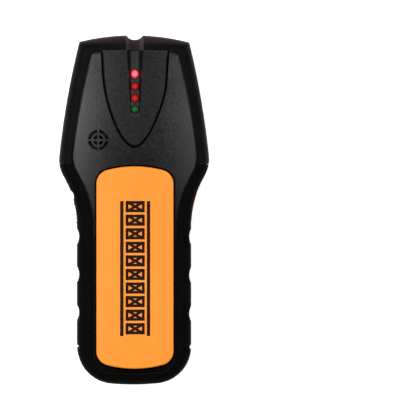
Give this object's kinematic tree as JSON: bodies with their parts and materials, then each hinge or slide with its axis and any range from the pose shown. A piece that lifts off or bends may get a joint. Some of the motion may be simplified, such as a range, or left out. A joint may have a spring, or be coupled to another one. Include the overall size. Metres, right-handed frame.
{
  "type": "stud finder",
  "caption": "Hand-held electronic stud finder with a wide sensing head, lamp channel, marking notch, scalloped grip, orange panel, side controls and a rear battery door.",
  "frame": {"origin": "middle of the rear face, which the tool lies on", "axes": "+Z out of the front face, +Y towards the head with the marking notch, +X to the right as seen from the front"},
  "size_m": [0.069, 0.1608, 0.0285],
  "materials": {
    "casing_plastic": "fine matt moulded texture",
    "tongue_plastic": "fine matt moulded texture",
    "bumper_plastic": "smooth satin",
    "grip_rubber": "soft satin rubber",
    "orange_plastic": "satin orange",
    "button_orange": "satin orange",
    "slider_plastic": "satin",
    "print_ink": "matt ink",
    "lamp_red": "tinted diffused epoxy",
    "lamp_red_lit": "tinted diffused epoxy, lit",
    "lamp_green": "tinted diffused epoxy",
    "black_nylon": "moulded",
    "bobbin_nylon": "moulded, natural",
    "board_laminate": "green solder mask",
    "screw_steel": "zinc plated",
    "contact_metal": "nickel plated",
    "chip_epoxy": "moulded epoxy",
    "chip_ceramic": "ceramic",
    "trimmer_blue": "moulded",
    "capacitor_sleeve": "shrink sleeve",
    "foam": "open cell foam",
    "mesh_cloth": "woven mesh",
    "copper": "tarnished copper foil",
    "copper_wire": "enamelled copper wire",
    "battery_sleeve": "painted steel jacket",
    "lead_red": "PVC insulation",
    "lead_black": "PVC insulation"
  },
  "bodies": {
    "casing": {"front_shell": "casing_plastic", "rear_shell": "casing_plastic", "head_bumper": "bumper_plastic", "grip_band": "grip_rubber", "face_panel": "orange_plastic", "panel_graphic": "print_ink", "sight_tongue": "tongue_plastic", "led_green": "lamp_green", "led_red_low": "lamp_red", "led_red_mid": "lamp_red", "led_red_high": "lamp_red_lit", "led_holder": "black_nylon", "main_board": "board_laminate", "board_screws": "screw_steel", "controller_chip": "chip_epoxy", "amplifier_chip": "chip_epoxy", "board_chips": "chip_ceramic", "calibration_trimmer": "trimmer_blue", "trimmer_rotor": "contact_metal", "crystal": "contact_metal", "electrolytic_capacitors": "capacitor_sleeve", "buzzer": "black_nylon", "buzzer_gasket": "foam", "grille_mesh": "mesh_cloth", "sensor_plates": "copper", "coil_bobbin": "bobbin_nylon", "coil_winding": "copper_wire", "power_switch_body": "black_nylon", "mode_switch_body": "contact_metal", "battery": "battery_sleeve", "battery_terminals": "contact_metal", "snap_contacts": "contact_metal", "battery_snap": "black_nylon", "battery_lead_red": "lead_red", "battery_lead_black": "lead_black", "shell_screws": "screw_steel"},
    "power_button": {"power_button": "button_orange", "power_switch_plunger": "bobbin_nylon"},
    "mode_slider": {"mode_slider": "slider_plastic", "mode_switch_lever": "black_nylon"},
    "battery_door": {"battery_door": "casing_plastic", "door_foam": "foam"}
  },
  "joints": [
    {"name": "power_button_press", "type": "slide", "parent": "casing", "child": "power_button", "axis": [-1, 0, 0], "range_m": [0, 0.0008], "stiffness_N_per_m": 800},
    {"name": "mode_slider_slide", "type": "slide", "parent": "casing", "child": "mode_slider", "axis": [0, 1, 0], "range_m": [-0.0025, 0.0025]},
    {"name": "battery_door_hinge", "type": "hinge", "parent": "casing", "child": "battery_door", "pos_m": [0, -0.0195, 0.001], "axis": [1, 0, 0], "range_deg": [0, 70]}
  ]
}
